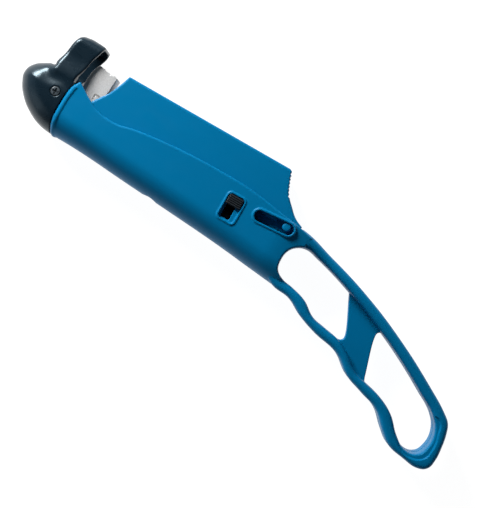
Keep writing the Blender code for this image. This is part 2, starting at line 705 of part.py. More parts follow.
# ---------------------------------------------------------------- tank, cap, valve and lever
tank_outline = [
    (TANK_X0, -26.0, "V"), (TANK_X1, -26.2, "V"), (TANK_X1, -37.8, "V"), (42.0, -36.1), (18.0, -34.4),
    (TANK_X0, -33.4, "V"),
]
tank_inside = [
    (TANK_X0 - 4, -27.2, "V"), (TANK_X1 - 1.2, -27.4, "V"), (TANK_X1 - 1.2, -36.5, "V"), (42.0, -34.9),
    (18.0, -33.2), (TANK_X0, -32.3, "V"), (TANK_X0 - 4, -32.3, "V"),
]
tank = outline("tank", [tank_outline], -TANK_HALF, TANK_HALF, TANK_RIM, steps=2)
tank_hollow = outline(
    "tank_hollow", [tank_inside], TANK_WALL - TANK_HALF, TANK_HALF - TANK_WALL, TANK_RIM - TANK_WALL, steps=2
)
refill_bore = cylinder("refill_bore", REFILL_R + GAP, -38.0, -32.0, axis="Y", at=(REFILL_X, 0.0))
combine(tank, tank_hollow, refill_bore)
finish(tank, "fuel_tank", tank_plastic)

cap = box("cap", (2.0, TANK_X0 - GAP), (-32.3, -26.1), (-5.5, 5.5))
combine(cap, cylinder("cap_bore", VALVE_R + FIT, 0.0, 6.0, "X", (VALVE_Y, 0.0)))
finish(cap, "tank_cap", tank_plastic)

valve = cylinder("valve", VALVE_R, -3.0, 8.0, "X", (VALVE_Y, 0.0))
combine(valve, cylinder("valve_bore", PLUNGER_R + 0.2, -4.0, 5.0, "X", (VALVE_Y, 0.0), 16))
finish(valve, "valve_body", brass)

plunger = cylinder("plunger", PLUNGER_R, -6.4, 3.0, "X", (VALVE_Y, 0.0), 16)
combine(plunger, cylinder("plunger_head", 1.6, -7.4, -6.2, "X", (VALVE_Y, 0.0), 20), how="UNION")
finish(plunger, "valve_plunger", black_plastic, (-7.4, VALVE_Y, 0.0))

lever = outline(
    "lever",
    [[
        (-10.7, -18.9, "V"), (-8.5, -18.9, "V"), (-8.1, -22.6), (-7.6, -25.0), (-7.75, -28.0),
        (-7.75, -31.8, "V"), (-9.5, -31.8, "V"), (-10.7, -28.2), (-11.4, -25.0), (-10.9, -22.6),
    ]],
    2.9, 4.9, 0.2, steps=2,
)
lever_foot = box("lever_foot", (-9.3, -7.75), (-31.4, -28.6), (-1.6, 3.4))
lever_bore = cylinder("lever_bore", LEVER_PIN_R + 0.2, -9.0, 9.0, at=(LEVER_X, LEVER_Y), sides=16)
combine(lever, lever_foot, how="UNION")
combine(lever, lever_bore)
finish(lever, "valve_lever", black_plastic, (LEVER_X, LEVER_Y, 3.9))
lever_axle = cylinder("lever_axle", LEVER_PIN_R, -7.7, 7.7, at=(LEVER_X, LEVER_Y), sides=16)
finish(lever_axle, "lever_pin", screw_steel)

finish(cylinder("wick", 1.6, 8.6, 40.0, "X", (-30.0, 0.0), 16), "tank_wick", wick_felt)
refill_at = (REFILL_X, 0.0)
refill = cylinder("refill", REFILL_R, -37.2, -32.4, axis="Y", at=refill_at)
combine(refill, cylinder("refill_port", 0.8, -39.0, -35.0, axis="Y", at=refill_at, sides=12))
finish(refill, "refill_valve", brass)
seal = cylinder("seal", 3.5, -33.4, -32.8, axis="Y", at=refill_at)
combine(seal, cylinder("seal_bore", REFILL_R + FIT, -35.0, -32.0, axis="Y", at=refill_at))
finish(seal, "refill_seal", seal_rubber)

# ---------------------------------------------------------------- return spring and its anchor
anchor = box("anchor", (9.0, SPRING_X0 - 0.8), (-25.7, -2.9), (-4.6, 4.6))
rod = cylinder("rod", 1.7, 10.0, 30.0, "X", (SPRING_Y, 0.0), 16)
combine(anchor, rod, how="UNION")
finish(anchor, "spring_anchor", tank_plastic)
finish(
    coil("main_coil", SPRING_X0, SPRING_X1, SPRING_Y, SPRING_R, SPRING_WIRE_R, SPRING_TURNS),
    "return_spring", spring_steel,
)

# ---------------------------------------------------------------- lock slider and its clip
slider_x = (LOCK_X - LOCK_HALF_WIDTH, LOCK_X + LOCK_HALF_WIDTH)
slider_y = (LOCK_Y - LOCK_HALF_LENGTH, LOCK_Y + LOCK_HALF_LENGTH)
stem_y = (LOCK_Y - LOCK_STEM_HALF, LOCK_Y + LOCK_STEM_HALF)
slider_z = (CASE_HALF - LOCK_RECESS_DEPTH + GAP, CASE_HALF + GAP)
slider = box("slider", slider_x, slider_y, slider_z)
stem = box("stem", (LOCK_STEM_X0, LOCK_STEM_X1), stem_y, (CASE_HALF - CASE_WALL, CASE_HALF))
combine(slider, stem, how="UNION")
for i in range(LOCK_RIDGES):
    ridge_y = LOCK_Y + 1.8 - LOCK_RIDGE_PITCH * i
    ridge_x = (LOCK_X - LOCK_HALF_WIDTH + 0.2, LOCK_X + LOCK_HALF_WIDTH - 0.2)
    combine(slider, cylinder(f"ridge_{i}", 0.42, *ridge_x, "X", (ridge_y, slider_z[1]), 10), how="UNION")
finish(slider, "lock_slider", black_plastic, (LOCK_X, LOCK_Y, slider_z[0]))
clip = box("clip", (LOCK_X - 2.6, LOCK_X + 2.6), (slider_y[0], LOCK_Y - 0.1), (7.6, 8.1))
finish(clip, "lock_clip", black_plastic, (LOCK_X, LOCK_Y, 7.6))
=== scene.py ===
"""The finished look of the long-handled kitchen lighter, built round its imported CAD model.

Shapes are drawn in the design frame, in millimetres: x from the flame end to the tail, y towards the
trigger, z the thickness with 0 at the parting plane. TO_WORLD carries them into the frame's metres.
The moulded pieces are remeshed and smoothed after their cuts, which gives them moulded, soft edges.
"""

import json
import math

import bmesh
import bpy
from mathutils import Matrix, Vector
from mathutils.kdtree import KDTree

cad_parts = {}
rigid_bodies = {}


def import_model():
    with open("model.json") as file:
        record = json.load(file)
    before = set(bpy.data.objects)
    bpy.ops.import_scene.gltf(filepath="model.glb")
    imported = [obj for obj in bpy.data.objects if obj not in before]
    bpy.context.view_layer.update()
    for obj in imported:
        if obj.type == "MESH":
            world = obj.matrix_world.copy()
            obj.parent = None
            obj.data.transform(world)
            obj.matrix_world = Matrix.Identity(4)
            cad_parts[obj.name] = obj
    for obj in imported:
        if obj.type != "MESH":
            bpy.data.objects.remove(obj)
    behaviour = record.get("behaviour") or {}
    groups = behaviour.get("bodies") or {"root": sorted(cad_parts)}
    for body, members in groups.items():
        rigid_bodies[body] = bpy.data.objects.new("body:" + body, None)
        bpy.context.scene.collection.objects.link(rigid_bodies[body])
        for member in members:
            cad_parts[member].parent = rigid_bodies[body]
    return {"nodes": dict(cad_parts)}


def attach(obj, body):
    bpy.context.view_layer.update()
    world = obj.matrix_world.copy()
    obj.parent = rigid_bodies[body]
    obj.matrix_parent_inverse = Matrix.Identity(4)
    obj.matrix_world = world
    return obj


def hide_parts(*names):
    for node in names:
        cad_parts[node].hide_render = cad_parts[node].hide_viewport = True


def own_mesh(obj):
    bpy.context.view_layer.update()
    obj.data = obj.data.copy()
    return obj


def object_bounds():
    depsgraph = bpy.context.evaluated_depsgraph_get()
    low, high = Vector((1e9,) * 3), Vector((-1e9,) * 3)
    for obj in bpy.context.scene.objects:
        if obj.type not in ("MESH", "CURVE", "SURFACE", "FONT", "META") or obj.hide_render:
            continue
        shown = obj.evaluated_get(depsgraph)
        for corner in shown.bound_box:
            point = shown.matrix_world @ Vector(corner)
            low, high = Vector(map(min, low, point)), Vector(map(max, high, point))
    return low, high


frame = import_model()
cad_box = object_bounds()

MM = 0.001
COARSE = 1.0

# Outer sizes in the design frame: _HALF is half a piece's thickness, _R a radius
TAIL_X = 181.97
TOP_Y = 5.75
CASE_HALF = 10.0
CASE_WALL = 1.6
CASE_EDGE_R = 0.7
BELLY_R = 9.6
HANDLE_HALF = 6.5
HANDLE_EDGE_R = 2.0
WEB_HALF = 1.8
RING_HALF = 8.0
RING_WALL = 1.5
NOSE_WALL = 1.6
TRIGGER_HALF = 7.9
TRIGGER_WALL = 1.4
TRIGGER_EDGE_R = 0.9

# The neck thins from the casing to the handle over these x, and the upper rail's share of it over these y.
NECK = (80.0, 108.0)
RAIL_FOOT = (-40.0, -30.0)

# The bead round the casing's open front, and how deep it is sunk into the casing
BEAD_R = 1.3
BEAD_SUNK = 0.85

# The recessed ledge round the tail hole, and the gap left at the parting plane
LEDGE_DEPTH = 0.8
PARTING = 0.05

# The trigger's slide, its guide pin and the slot, with a raised rim
SLIDE_TILT = math.radians(4.5)
SLIDE_TRAVEL = 10.8
PIN = (83.7, -20.85)
PIN_R = 1.8
SLOT_LENGTH = SLIDE_TRAVEL + 0.6
SLOT_R = 2.3
SLOT_RIM_R = 3.2
SLOT_RIM_HEIGHT = 0.45

# The spark wheel's axis, which is also the axle screw's
WHEEL = (-22.4, -19.8)
WHEEL_R = 6.5
AXLE_HEAD_R = 1.85

# The lock slider's place, and its recess (x0, x1, y0, y1) with the rim round it
LOCK = (60.9, -22.0)
LOCK_RECESS = (57.5, 64.5, -30.7, -19.9)
LOCK_RECESS_R = 1.4
LOCK_RIM_WIDTH = 0.7
LOCK_RIM_HEIGHT = 0.35

# The casing screws' places and the face that each head sinks into: (x, y, z)
SCREWS = ((-14.6, -26.6, -10.0), (80.4, -31.0, -10.0), (176.8, -74.2, -6.5))
SCREW_HOLE_R = 1.15
SCREW_SINK_R = 2.6
BOSS_R = 2.6
REFILL_X = 30.0
REFILL_HOLE_R = 3.1

# Past the outside of any piece, for cutters
BEYOND = 20.0

# The design frame's origin in the world, found from the CAD model's box
ORIGIN = Vector((cad_box[1].x - TAIL_X * MM, cad_box[1].y - TOP_Y * MM, cad_box[0].z + CASE_HALF * MM))
TO_WORLD = Matrix.Translation(ORIGIN) @ Matrix.Scale(MM, 4)


# ---------------------------------------------------------------- materials
class Surface:
    """A Principled material whose colour, roughness and relief come from procedural textures."""

    def __init__(self, name, colour, metallic=0.0, **fixed):
        self.material = bpy.data.materials.new(name)
        self.material.use_nodes = True
        self.tree = self.material.node_tree
        self.shader = self.tree.nodes["Principled BSDF"]
        self.shader.inputs["Metallic"].default_value = metallic
        for socket, value in fixed.items():
            self.shader.inputs[socket.replace("_", " ")].default_value = value
        self.place = self.node("ShaderNodeTexCoord").outputs["Object"]
        self.colour = colour
        self.relief = None

    def node(self, kind, **inputs):
        made = self.tree.nodes.new(kind)
        for socket, value in inputs.items():
            self.put(made.inputs[socket.replace("_", " ")], value)
        return made

    def put(self, socket, value):
        if isinstance(value, bpy.types.NodeSocket):
            self.tree.links.new(value, socket)
        else:
            socket.default_value = value

    def stretched(self, stretch):
        """Texture coordinates in millimetres, stretched along each axis."""
        mapping = self.node("ShaderNodeMapping", Vector=self.place)
        mapping.inputs["Scale"].default_value = [1.0 / (MM * size) for size in stretch]
        return mapping.outputs["Vector"]

    def noise(self, size, detail=4.0, roughness=0.55, low=0.3, high=0.7, distortion=0.0):
        """Noise with features of this size in millimetres, spread to 0..1 between two levels."""
        stretch = size if isinstance(size, tuple) else (size, size, size)
        made = self.node("ShaderNodeTexNoise", Vector=self.stretched(stretch), Scale=1.0, Detail=detail)
        made.inputs["Roughness"].default_value = roughness
        made.inputs["Distortion"].default_value = distortion
        return self.spread(made.outputs["Fac"], low, high, 0.0, 1.0)

    def spread(self, value, low, high, to_low, to_high):
        made = self.node("ShaderNodeMapRange", Value=value)
        made.inputs["From Min"].default_value = low
        made.inputs["From Max"].default_value = high
        made.inputs["To Min"].default_value = to_low
        made.inputs["To Max"].default_value = to_high
        return made.outputs["Result"]

    def mix(self, share, first, second):
        made = self.tree.nodes.new("ShaderNodeMix")
        made.data_type = "RGBA"
        self.put(made.inputs[0], share)
        for socket, value in ((made.inputs[6], first), (made.inputs[7], second)):
            self.put(socket, value if isinstance(value, bpy.types.NodeSocket) else (*value, 1.0))
        return made.outputs[2]

    def tint(self, share, colour):
        """Blends another colour in, as far as the share says."""
        self.colour = self.mix(share, self.colour, colour)
        return self

    def scale(self, value, factor):
        made = self.node("ShaderNodeMath")
        made.operation = "MULTIPLY"
        self.put(made.inputs[0], value)
        self.put(made.inputs[1], factor)
        return made.outputs[0]

    def bump(self, height, depth, strength=1.0):
        """Relief of this depth in millimetres."""
        made = self.node("ShaderNodeBump", Height=height, Distance=depth * MM, Strength=strength)
        if self.relief:
            self.tree.links.new(self.relief, made.inputs["Normal"])
        self.relief = made.outputs["Normal"]
        return self

    def rough(self, value, low, high):
        self.put(self.shader.inputs["Roughness"], self.spread(value, 0.0, 1.0, low, high))
        return self

    def done(self):
        if isinstance(self.colour, bpy.types.NodeSocket):
            self.tree.links.new(self.colour, self.shader.inputs["Base Color"])
        else:
            self.shader.inputs["Base Color"].default_value = (*self.colour, 1.0)
        if self.relief:
            self.tree.links.new(self.relief, self.shader.inputs["Normal"])
        return self.material


def edge_share(surface, low, high):
    """How far a point is on a convex edge, 0..1."""
    geometry = surface.node("ShaderNodeNewGeometry")
    return surface.spread(geometry.outputs["Pointiness"], low, high, 0.0, 1.0)


def moulded_plastic(name, colour, deep, fleck, roughness, grain, **fixed):
    """Moulded plastic: flow clouds, flecks, fine spark-eroded grain, faint smudges and scratches."""
    made = Surface(name, colour, **fixed)
    clouds = made.noise((22.0, 9.0, 9.0), detail=3.0)
    made.tint(made.scale(clouds, 0.35), deep)
    specks = made.noise(0.35, detail=2.0, low=0.55, high=0.8)
    made.tint(made.scale(specks, 0.06), fleck)
    smudges = made.noise((7.0, 5.0, 5.0), detail=5.0, roughness=0.65, distortion=0.6)
    made.rough(smudges, *roughness)
    made.bump(made.noise(0.18, detail=3.0, low=0.0, high=1.0), grain)
    made.bump(made.noise((14.0, 6.0, 6.0), detail=2.0, low=0.0, high=1.0), 0.03)
    scratches = made.noise((6.0, 0.10, 0.10), detail=2.0, low=0.66, high=0.74)
    return made.bump(scratches, -0.004).done()


def brushed_metal(name, colour, dark, roughness, along, depth=0.01, **fixed):
    """Metal with drawn or brushed lines; `along` gives the size of a line along x, y and z."""
    made = Surface(name, colour, 1.0, **fixed)
    lines = made.noise(along, detail=5.0, roughness=0.7)
    made.tint(made.scale(lines, 0.35), dark)
    stains = made.noise(3.5, detail=5.0, low=0.45, high=0.75)
    made.tint(made.scale(stains, 0.30), dark)
    made.rough(made.noise(along, detail=3.0), *roughness)
    made.bump(lines, depth)
    return made.bump(made.noise(1.2, detail=4.0, low=0.0, high=1.0), depth).done()


def turned_metal(name, colour, dark, roughness):
    """Turned metal: very fine rings, light stains and bright rubbed edges."""
    made = Surface(name, colour, 1.0)
    rings = made.noise((0.09, 0.9, 0.9), detail=3.0)
    stains = made.noise(2.2, detail=6.0, roughness=0.65, low=0.4, high=0.75)
    made.tint(made.scale(stains, 0.45), dark)
    made.tint(made.scale(edge_share(made, 0.52, 0.62), 0.4), tuple(min(1.0, 1.3 * part) for part in colour))
    made.rough(stains, *roughness)
    return made.bump(rings, 0.006).bump(made.noise(0.5), 0.006).done()


def soft_matt(name, colour, other, size, share, roughness, depth, **fixed):
    """A matt surface with grain of this size in its colour and relief: nylon, rubber, felt or alloy."""
    made = Surface(name, colour, **fixed)
    grain = made.noise(size, detail=5.0, roughness=0.7)
    made.tint(made.scale(grain, share), other)
    made.tint(made.scale(made.noise(6.0, detail=3.0), 0.25), other)
    made.rough(grain, *roughness)
    return made.bump(grain, depth).done()


LOOKS = {
    "blue_plastic": moulded_plastic(
        "blue_abs", (0.0, 0.155, 0.340), (0.0, 0.145, 0.315), (0.005, 0.20, 0.40), (0.32, 0.44), 0.004,
        Specular_IOR_Level=0.15, Specular_Tint=(0.5, 0.8, 1.0, 1.0),
    ),
    "navy_plastic": moulded_plastic(
        "navy_gloss", (0.004, 0.012, 0.020), (0.003, 0.009, 0.015), (0.01, 0.02, 0.03), (0.24, 0.32), 0.002,
        Specular_IOR_Level=0.4, Specular_Tint=(0.7, 0.9, 1.0, 1.0),
    ),
    "satin_steel": soft_matt(
        "satin_steel", (0.86, 0.855, 0.84), (0.42, 0.415, 0.405), 0.45, 0.6, (0.34, 0.5), 0.012, metallic=0.5
    ),
    "screw_steel": turned_metal("zinc_plate", (0.50, 0.50, 0.48), (0.26, 0.25, 0.22), (0.24, 0.42)),
    "spring_steel": brushed_metal(
        "spring_steel", (0.40, 0.40, 0.41), (0.16, 0.15, 0.15), (0.22, 0.38), (0.2, 0.2, 0.2), 0.003
    ),
    "black_plastic": soft_matt(
        "black_nylon", (0.008, 0.011, 0.014), (0.014, 0.019, 0.024), 0.25, 0.8, (0.32, 0.45), 0.006,
        Specular_IOR_Level=0.45,
    ),
    "brass": turned_metal("brass", (0.60, 0.43, 0.17), (0.30, 0.19, 0.07), (0.20, 0.38)),
    "tank_plastic": soft_matt(
        "dark_acetal", (0.012, 0.022, 0.040), (0.018, 0.030, 0.052), 1.5, 0.6, (0.35, 0.5), 0.006
    ),
    "wheel_steel": soft_matt(
        "hardened_steel", (0.10, 0.10, 0.105), (0.04, 0.038, 0.036), 0.3, 0.9, (0.35, 0.6), 0.02, metallic=1.0
    ),
    "flint_alloy": soft_matt(
        "flint_alloy", (0.17, 0.165, 0.155), (0.08, 0.075, 0.07), 0.15, 0.9, (0.6, 0.85), 0.03, metallic=0.7
    ),
    "wick_felt": soft_matt(
        "wick_felt", (0.60, 0.56, 0.47), (0.42, 0.38, 0.30), (1.6, 0.12, 0.12), 0.8, (0.85, 1.0), 0.08,
        Sheen_Weight=0.4,
    ),
    "seal_rubber": soft_matt(
        "seal_rubber", (0.02, 0.02, 0.02), (0.035, 0.035, 0.034), 0.2, 0.8, (0.6, 0.8), 0.01
    ),
}


# ---------------------------------------------------------------- mesh tools
workshop = bpy.data.collections.new("workshop")
bpy.context.scene.collection.children.link(workshop)


def held(mesh, name):
    obj = bpy.data.objects.new(name, mesh)
    workshop.objects.link(obj)
    return obj


def evaluated_mesh(obj):
    bpy.context.view_layer.update()
    graph = bpy.context.evaluated_depsgraph_get()
    return bpy.data.meshes.new_from_object(obj.evaluated_get(graph))


def bake(obj):
    """Applies the object's modifiers."""
    mesh = evaluated_mesh(obj)
    obj.modifiers.clear()
    obj.data = mesh
    return obj


def curve_mesh(curve, name):
    """A mesh object made from a curve, with its caps welded on."""
    scratch = bpy.data.objects.new(name, curve)
    workshop.objects.link(scratch)
    mesh = evaluated_mesh(scratch)
    bpy.data.objects.remove(scratch, do_unlink=True)
    work = bmesh.new()
    work.from_mesh(mesh)
    bmesh.ops.remove_doubles(work, verts=work.verts, dist=0.001)
    bmesh.ops.recalc_face_normals(work, faces=work.faces)
    work.to_mesh(mesh)
    work.free()
    return held(mesh, name)


def outline(name, loops, z0, z1, rim=0.0, steps=10, rim_steps=5):
    """A flat outline given thickness. A point is (x, y), smooth, or (x, y, "V"), a corner."""
    curve = bpy.data.curves.new(name, "CURVE")
    curve.dimensions = "2D"
    curve.fill_mode = "BOTH"
    curve.resolution_u = steps
    curve.extrude = (z1 - z0) / 2 - rim
    curve.bevel_depth = rim
    curve.bevel_resolution = rim_steps - 1
    curve.offset = -rim
    for points in loops:
        spline = curve.splines.new("BEZIER")
        spline.bezier_points.add(len(points) - 1)
        spline.use_cyclic_u = True
        for knot, point in zip(spline.bezier_points, points):
            knot.co = (point[0], point[1], 0.0)
            kind = "VECTOR" if len(point) == 3 else "AUTO"
            knot.handle_left_type = kind
            knot.handle_right_type = kind
    obj = curve_mesh(curve, name)
    obj.data.transform(Matrix.Translation((0.0, 0.0, (z0 + z1) / 2)))
    return obj


def polygon(name, points, z0, z1, rim=0.0):
    return outline(name, [[(x, y, "V") for x, y in points]], z0, z1, rim, steps=1)


def box(name, x, y, z):
    work = bmesh.new()
    bmesh.ops.create_cube(work, size=1.0)
    mesh = bpy.data.meshes.new(name)
    work.to_mesh(mesh)
    work.free()
    size = Matrix.Diagonal((x[1] - x[0], y[1] - y[0], z[1] - z[0], 1.0))
    mesh.transform(Matrix.Translation((sum(x) / 2, sum(y) / 2, sum(z) / 2)) @ size)
    return held(mesh, name)


def turned(name, profile, at, axis="Z", sides=64):
    """A profile of (radius, height) points turned round an axis; `at` gives the axis's place."""
    work = bmesh.new()
    rings = []
    for radius, height in profile:
        if radius == 0.0:
            rings.append([work.verts.new((0.0, 0.0, height))])
            continue
        turn = [2 * math.pi * i / sides for i in range(sides)]
        rings.append([work.verts.new((radius * math.cos(a), radius * math.sin(a), height)) for a in turn])
    for lower, upper in zip(rings, rings[1:]):
        for i in range(sides):
            j = (i + 1) % sides
            below = lower[i % len(lower)], lower[j % len(lower)]
            above = upper[j % len(upper)], upper[i % len(upper)]
            unique = list(dict.fromkeys((*below, *above)))
            if len(unique) > 2:
                work.faces.new(unique)
    for ring in (rings[0], rings[-1]):
        if len(ring) > 1:
            work.faces.new(ring)
    bmesh.ops.recalc_face_normals(work, faces=work.faces)
    mesh = bpy.data.meshes.new(name)
    work.to_mesh(mesh)
    work.free()
    turn = {"X": Matrix.Rotation(math.pi / 2, 4, "Y"), "Z": Matrix.Identity(4)}
    turn["Y"] = Matrix.Rotation(-math.pi / 2, 4, "X")
    place = {"X": (0.0, *at), "Y": (at[0], 0.0, at[1]), "Z": (*at, 0.0)}
    mesh.transform(Matrix.Translation(place[axis]) @ turn[axis])
    return held(mesh, name)


def cylinder(name, radius, start, end, at=(0.0, 0.0), axis="Z", sides=64):
    return turned(name, [(radius, start), (radius, end)], at, axis, sides)


def combine(obj, *others, how="DIFFERENCE"):
    """Cuts the others from the object, or joins or intersects it with them."""
    for other in others:
        step = obj.modifiers.new(other.name, "BOOLEAN")
        step.operation = how
        step.solver = "MANIFOLD"
        step.object = other
    return bake(obj)


def copy_of(obj, name):
    return held(obj.data.copy(), name)


def mould(obj, voxel=0.3, rounds=4, keep=0.35):
    """Remeshes the object and smooths it, which rounds its edges, then thins its flat areas out."""
    remesh = obj.modifiers.new("remesh", "REMESH")
    remesh.mode = "VOXEL"
    remesh.voxel_size = voxel * COARSE
    smooth = obj.modifiers.new("smooth", "SMOOTH")
    smooth.factor = 0.5
    smooth.iterations = rounds
    thin = obj.modifiers.new("thin", "DECIMATE")
    thin.ratio = keep
    return bake(obj)


def join(obj, *others):
    """Adds the others' meshes to the object's."""
    work = bmesh.new()
    for source in (obj, *others):
        work.from_mesh(source.data)
    mesh = bpy.data.meshes.new(obj.name)
    work.to_mesh(mesh)
    work.free()
    obj.data = mesh
    return obj


def chamfer(obj, width, segments=2):
    """Rounds the object's sharp edges."""
    step = obj.modifiers.new("chamfer", "BEVEL")
    step.width = width
    step.segments = segments
    step.limit_method = "ANGLE"
    step.angle_limit = math.radians(35)
    return bake(obj)


def wire(name, points, radius):
    """A round wire through these points."""
    curve = bpy.data.curves.new(name, "CURVE")
    curve.dimensions = "3D"
    curve.bevel_depth = radius
    curve.bevel_resolution = 3
    curve.use_fill_caps = True
    spline = curve.splines.new("POLY")
    spline.points.add(len(points) - 1)
    for knot, point in zip(spline.points, points):
        knot.co = (*point, 1.0)
    return curve_mesh(curve, name)


def piece(obj, name, slot, body, *nodes, crease=50):
    """Makes the object one of the lighter's visible pieces, in place of these CAD nodes."""
    workshop.objects.unlink(obj)
    bpy.context.scene.collection.objects.link(obj)
    obj.name = name
    obj.data.transform(TO_WORLD)
    obj.data.materials.clear()
    obj.data.materials.append(LOOKS[slot])
    obj.data.shade_smooth()
    obj.data.set_sharp_from_angle(angle=math.radians(crease))
    even = obj.modifiers.new("even_shading", "WEIGHTED_NORMAL")
    even.keep_sharp = True
    bake(obj)
    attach(obj, body)
    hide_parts(*nodes)
    return obj


def smooth_step(value, start, end):
    """0 up to the start, 1 from the end on, and smooth in between."""
    share = min(max((value - start) / (end - start), 0.0), 1.0)
    return share * share * (3 - 2 * share)


def slid(x, y, travel):
    """Where a point of the trigger is after this travel."""
    return x - travel * math.cos(SLIDE_TILT), y - travel * math.sin(SLIDE_TILT)


def stadium(radius, travel, steps=16):
    """A round-ended slot from the guide pin's rest place, this travel long."""
    along = math.pi + SLIDE_TILT
    points = []
    rear = PIN[0] + 0.9, PIN[1] - 0.5
    front = slid(PIN[0], PIN[1] - 0.6, travel)
    for (x, y), start in ((rear, along + math.pi / 2), (front, along - math.pi / 2)):
        for i in range(steps + 1):
            angle = start + math.pi * i / steps
            points.append((x + radius * math.cos(angle), y + radius * math.sin(angle)))
    return points


def rounded(x0, x1, y0, y1, radius, steps=6):
    """Points of a rectangle with round corners."""
    points = []
    for side_x, side_y, start in ((x1, y1, 0), (x0, y1, 90), (x0, y0, 180), (x1, y0, 270)):
        centre_x = side_x - math.copysign(radius, side_x - (x0 + x1) / 2)
        centre_y = side_y - math.copysign(radius, side_y - (y0 + y1) / 2)
        for i in range(steps + 1):
            angle = math.radians(start + 90 * i / steps)
            points.append((centre_x + radius * math.cos(angle), centre_y + radius * math.sin(angle)))
    return points


def arch(name, half, top, bottom, radius, x0, x1):
    """An upright bar with rounded top corners and a square foot, running along x."""
    section = [(-half, bottom), (half, bottom)]
    steps = 8
    for side, start in ((1, 0), (-1, 90)):
        for i in range(steps + 1):
            angle = math.radians(start + 90 * i / steps)
            across = side * (half - radius) + radius * math.cos(angle)
            section.append((across, top - radius + radius * math.sin(angle)))
    bar = polygon(name, section, x0, x1)
    bar.data.transform(Matrix(((0, 0, 1, 0), (0, 1, 0, 0), (-1, 0, 0, 0), (0, 0, 0, 1))))
    return bar


# ---------------------------------------------------------------- casing and handle
SEAM = [
    (-15.7, -11.6, "V"), (-9.8, -15.4), (-4.7, -18.0), (0.5, -18.9), (5.3, -18.9), (11.0, -17.6),
    (20.0, -16.2), (35.0, -14.9), (52.0, -14.5), (65.0, -14.9), (78.0, -16.8), (88.0, -18.2),
]
FRONT_EDGE = [(-18.2, -30.3), (-18.45, -25.0), (-18.3, -19.8), (-17.7, -15.3)]
BELLY = [
    (-60.0, -35.4, "V"), (-16.0, -35.5), (-4.0, -35.8), (18.0, -37.4), (42.0, -39.05), (62.0, -40.6),
    (80.0, -42.5), (110.0, -45.6, "V"),
]
HANDLE_OUTSIDE = [
    (80.0, -19.5, "V"), (88.3, -18.15), (106.0, -22.3), (126.0, -28.6), (146.0, -37.1), (166.0, -47.7),
    (176.0, -53.9), (178.9, -56.5), (180.3, -59.8), (181.6, -66.5), (181.9, -72.0), (180.8, -76.3),
    (177.4, -78.25), (170.0, -77.7), (162.2, -75.9), (157.5, -72.3), (150.5, -66.0), (142.5, -63.2),
    (134.0, -60.1), (126.0, -54.5), (114.5, -51.8), (106.0, -48.8), (98.5, -44.9), (90.5, -43.7),
    (82.0, -38.5, "V"),
]
HANDLE_INSIDE = [
    (88.3, -33.5), (88.9, -29.0), (91.5, -25.9), (95.5, -24.35), (101.0, -25.4), (118.9, -30.8),
    (138.5, -38.7), (150.0, -44.2), (163.5, -51.7), (172.0, -57.0), (175.8, -62.2), (176.4, -68.9),
    (174.0, -73.4), (168.8, -74.2), (163.5, -71.0), (157.2, -64.8), (150.0, -61.0), (142.0, -58.9),
    (137.0, -57.5), (129.5, -52.2), (124.0, -49.4), (117.5, -48.1), (110.8, -46.6), (104.6, -42.5),
    (98.0, -40.5), (92.3, -39.3), (89.2, -37.0),
]
WEB = [
    (118.9, -30.7, "V"), (126.2, -46.8), (126.1, -48.3), (124.7, -49.3), (122.5, -49.1), (120.0, -50.6, "V"),
    (131.0, -56.0, "V"), (143.0, -61.2, "V"), (141.3, -57.4, "V"), (136.7, -40.9), (137.0, -39.2),
    (138.6, -38.5), (141.5, -39.2), (144.0, -38.6, "V"), (120.0, -29.0, "V"),
]
TAIL_LEDGE = [
    (170.0, -56.6, "V"), (175.2, -57.2), (177.5, -62.5), (178.5, -68.0), (177.6, -73.2), (174.1, -75.6),
    (167.5, -75.3), (162.9, -70.2, "V"), (166.0, -66.0, "V"),
]


def belly(name, inset):
    """A long bar with the casing's round underside, set in from the outer shape."""
    half = CASE_HALF - inset
    edge = [(point[0], point[1] + inset, *point[2:]) for point in BELLY]
    loop = [*edge, (110.0, 30.0, "V"), (-60.0, 30.0, "V")]
    return outline(name, [loop], -half, half, BELLY_R - inset, rim_steps=14)


def front_bead():
    """A half-round bead round the casing's open front, from seam to seam, flat where the casing lies."""
    middle_y = BELLY[1][1] + BELLY_R
    reach = BELLY_R - BEAD_SUNK
    flat = (-14.2, -15.6, -17.5, -20.0, -22.5)
    steps = 24
    line = [(y, CASE_HALF - BEAD_SUNK) for y in flat]
    for i in range(steps + 1):
        angle = math.pi * i / steps
        line.append((middle_y - reach * math.sin(angle), CASE_HALF - BELLY_R + reach * math.cos(angle)))
    line += [(y, BEAD_SUNK - CASE_HALF) for y in reversed(flat)]
    front = sorted((y, x) for x, y in ((-17.0, -13.2), (-17.3, -36.5), *FRONT_EDGE))
    points = []
    for y, z in line:
        for (y0, x0), (y1, x1) in zip(front, front[1:]):
            if y0 <= y <= y1:
                points.append((x0 + (x1 - x0) * (y - y0) / (y1 - y0) + BEAD_R, y, z))
    bead = wire("bead", points, BEAD_R)
    lowest = -CASE_HALF - 0.05
    for vertex in bead.data.vertices:
        vertex.co.z = max(vertex.co.z, lowest)
    return bead


def thinned(obj, half):
    """Thins a part of this half thickness along the neck, from the casing's thickness to the handle's."""
    work = bmesh.new()
    work.from_mesh(obj.data)
    start, end = NECK
    stations = 16
    for i in range(stations + 1):
        everything = work.verts[:] + work.edges[:] + work.faces[:]
        at = (start + (end - start) * i / stations, 0, 0)
        bmesh.ops.bisect_plane(work, geom=everything, plane_co=at, plane_no=(1, 0, 0), dist=1e-4)
    for vertex in work.verts:
        here = CASE_HALF + (HANDLE_HALF - CASE_HALF) * smooth_step(vertex.co.x, start, end)
        vertex.co.z *= here / half
    work.to_mesh(obj.data)
    work.free()
    return obj


